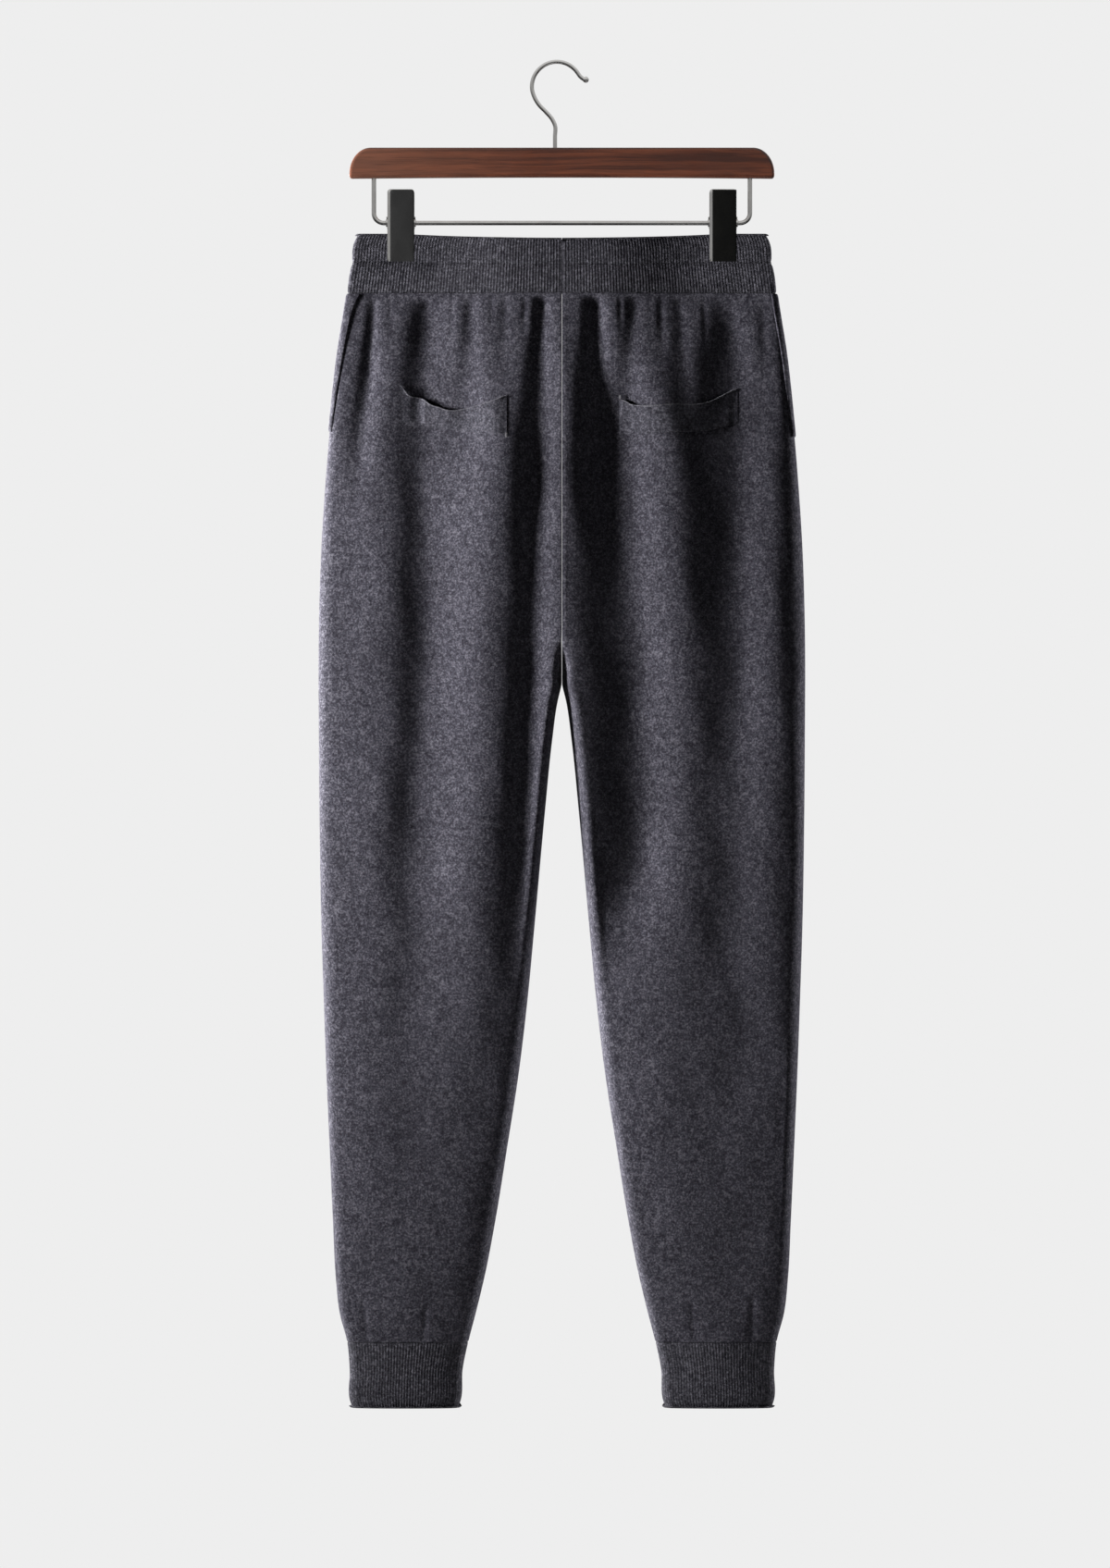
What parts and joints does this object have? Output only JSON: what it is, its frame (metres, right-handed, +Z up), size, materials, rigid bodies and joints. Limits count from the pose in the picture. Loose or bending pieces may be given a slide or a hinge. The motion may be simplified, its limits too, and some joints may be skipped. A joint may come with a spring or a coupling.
{
  "type": "knitted joggers on a wooden clip hanger",
  "caption": "Charcoal knitted joggers with ribbed waistband, back welt pockets and ribbed cuffs, hung open and soft from a wooden clip hanger with a wire hook.",
  "frame": {"origin": "top of the inside of the hanger's hook, where a rail carries it", "axes": "+Z up along the hang, +X to the right of a viewer who sees the garment's back, +Y from the garment's back towards its front"},
  "size_m": [0.4232, 0.0719, 1.1716],
  "materials": {
    "plain_knit": "fine heathered knit, matt, softly napped",
    "rib_knit": "one by one ribbed knit, matt",
    "bar_wood": "red-brown stained wood, satin varnish",
    "wire_chrome": "bright plated steel",
    "clip_cover": "black, low sheen",
    "clip_grip": "black rubber, dull"
  },
  "bodies": {
    "root": {"waistband": "rib_knit", "back_left": "plain_knit", "back_right": "plain_knit", "front_left": "plain_knit", "front_right": "plain_knit", "back_pocket_welt_left": "plain_knit", "back_pocket_welt_right": "plain_knit", "side_pocket_edge_left": "plain_knit", "side_pocket_edge_right": "plain_knit", "cuff_left": "rib_knit", "cuff_right": "rib_knit", "hanger_bar": "bar_wood", "hanger_hook": "wire_chrome", "hanger_rail": "wire_chrome", "clip_left_frame": "wire_chrome", "clip_left_cover_back": "clip_cover", "clip_left_cover_front": "clip_cover", "clip_left_grip_back": "clip_grip", "clip_left_grip_front": "clip_grip", "clip_right_frame": "wire_chrome", "clip_right_cover_back": "clip_cover", "clip_right_cover_front": "clip_cover", "clip_right_grip_back": "clip_grip", "clip_right_grip_front": "clip_grip"}
  },
  "joints": []
}
